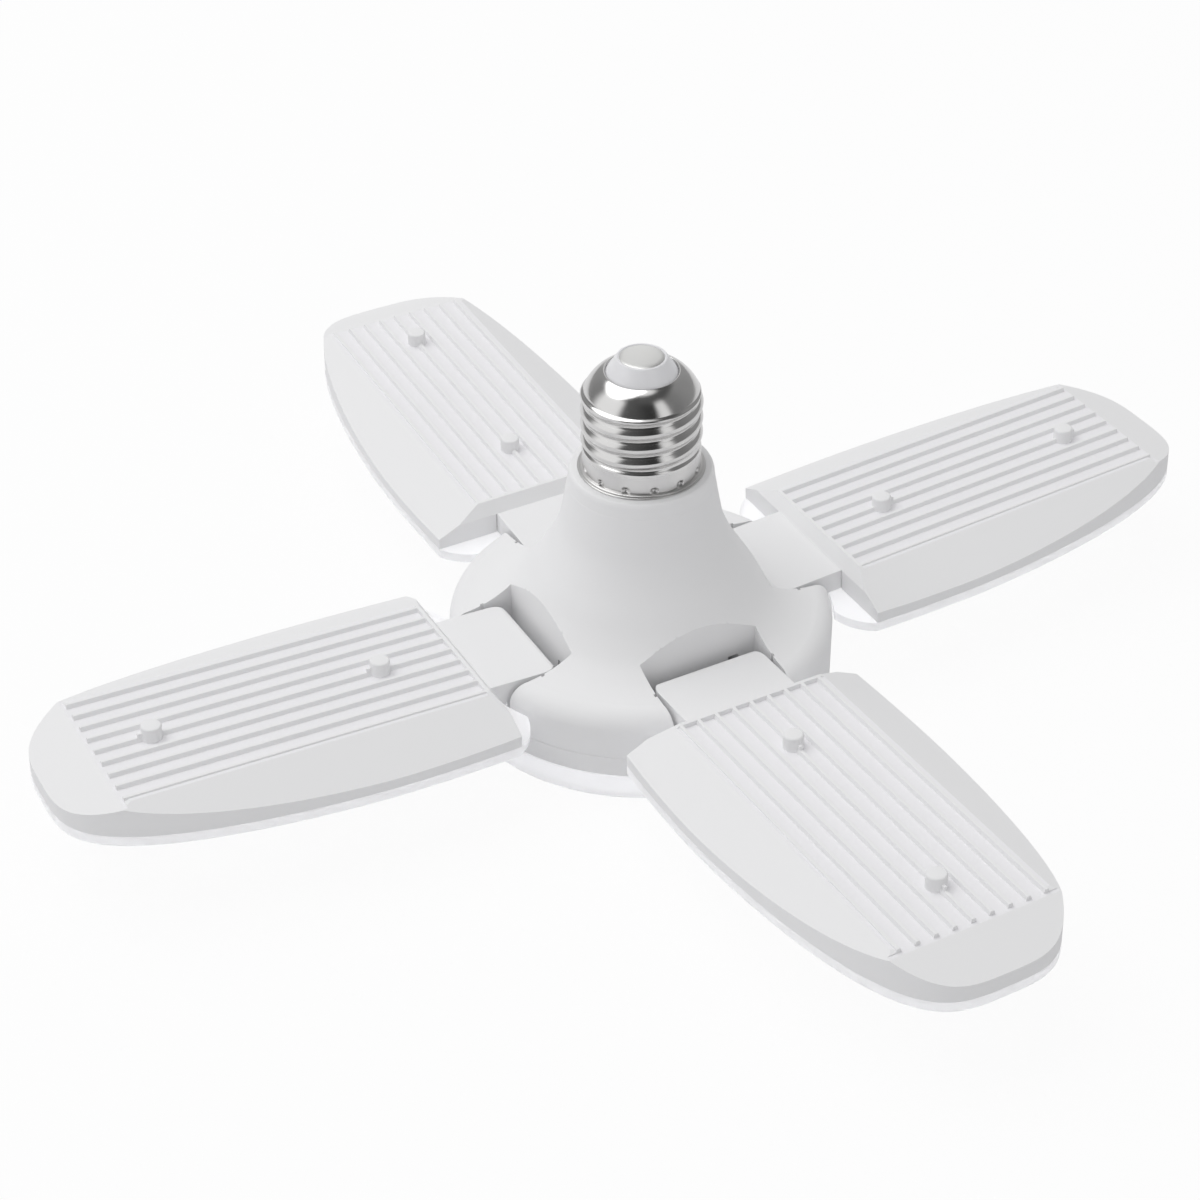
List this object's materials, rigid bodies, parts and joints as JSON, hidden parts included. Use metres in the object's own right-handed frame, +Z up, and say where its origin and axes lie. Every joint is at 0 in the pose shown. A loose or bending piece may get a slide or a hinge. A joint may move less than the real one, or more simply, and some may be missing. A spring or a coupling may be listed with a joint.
{
  "type": "deformable garage light",
  "caption": "Screw-in LED garage light: a bell-shaped hub on a lamp-cap base carries hinged ribbed light blades that swing up beside its neck.",
  "frame": {"origin": "the tip of the centre contact, on the screw axis", "axes": "+Z up along the screw axis towards the lamp holder; the blades lie along +X (right), +Y (back), -X (left) and -Y (front), 2.78 degrees above level as pictured"},
  "size_m": [0.2792, 0.2792, 0.0856],
  "materials": {
    "nickel": "bright nickel plate",
    "insulator": "smooth moulded white insulator",
    "solder": "bright tinned solder dome",
    "housing_white": "satin white moulded plastic",
    "diffuser": "milky translucent plastic",
    "board_white": "white solder mask on aluminium",
    "led": "yellow phosphor in a white package",
    "screw_steel": "plain zinc-plated steel",
    "board_green": "green circuit board",
    "tape_yellow": "yellow taped winding",
    "can_sleeve": "black shrink sleeve",
    "chip_black": "black moulded package",
    "resistor_body": "pale blue lacquer",
    "wire_white": "white insulated wire"
  },
  "bodies": {
    "hub": {"screw_shell": "nickel", "base_insulator": "insulator", "centre_contact": "solder", "hub_housing": "housing_white", "hub_lower_plate": "housing_white", "hub_led_board": "board_white", "hub_leds": "led", "hub_diffuser": "diffuser", "hub_screws": "screw_steel", "driver_board": "board_green", "driver_transformer": "tape_yellow", "bulk_capacitor": "can_sleeve", "output_capacitor": "can_sleeve", "bridge_rectifier": "chip_black", "driver_chip": "chip_black", "fusible_resistor": "resistor_body", "contact_wire": "wire_white", "shell_wire": "wire_white", "right_hinge_pin": "screw_steel", "back_hinge_pin": "screw_steel", "left_hinge_pin": "screw_steel", "front_hinge_pin": "screw_steel"},
    "right_blade": {"right_housing": "housing_white", "right_arm": "housing_white", "right_led_board": "board_white", "right_leds": "led", "right_diffuser": "diffuser", "right_screws": "screw_steel"},
    "back_blade": {"back_housing": "housing_white", "back_arm": "housing_white", "back_led_board": "board_white", "back_leds": "led", "back_diffuser": "diffuser", "back_screws": "screw_steel"},
    "left_blade": {"left_housing": "housing_white", "left_arm": "housing_white", "left_led_board": "board_white", "left_leds": "led", "left_diffuser": "diffuser", "left_screws": "screw_steel"},
    "front_blade": {"front_housing": "housing_white", "front_arm": "housing_white", "front_led_board": "board_white", "front_leds": "led", "front_diffuser": "diffuser", "front_screws": "screw_steel"}
  },
  "joints": [
    {"name": "right_blade_hinge", "type": "hinge", "parent": "hub", "child": "right_blade", "pos_m": [0.0323, 0, -0.0679], "axis": [0, -1, 0], "range_deg": [-2.78, 87.22]},
    {"name": "back_blade_hinge", "type": "hinge", "parent": "hub", "child": "back_blade", "pos_m": [0, 0.0323, -0.0679], "axis": [1, 0, 0], "range_deg": [-2.78, 87.22]},
    {"name": "left_blade_hinge", "type": "hinge", "parent": "hub", "child": "left_blade", "pos_m": [-0.0323, 0, -0.0679], "axis": [0, 1, 0], "range_deg": [-2.78, 87.22]},
    {"name": "front_blade_hinge", "type": "hinge", "parent": "hub", "child": "front_blade", "pos_m": [0, -0.0323, -0.0679], "axis": [-1, 0, 0], "range_deg": [-2.78, 87.22]}
  ]
}
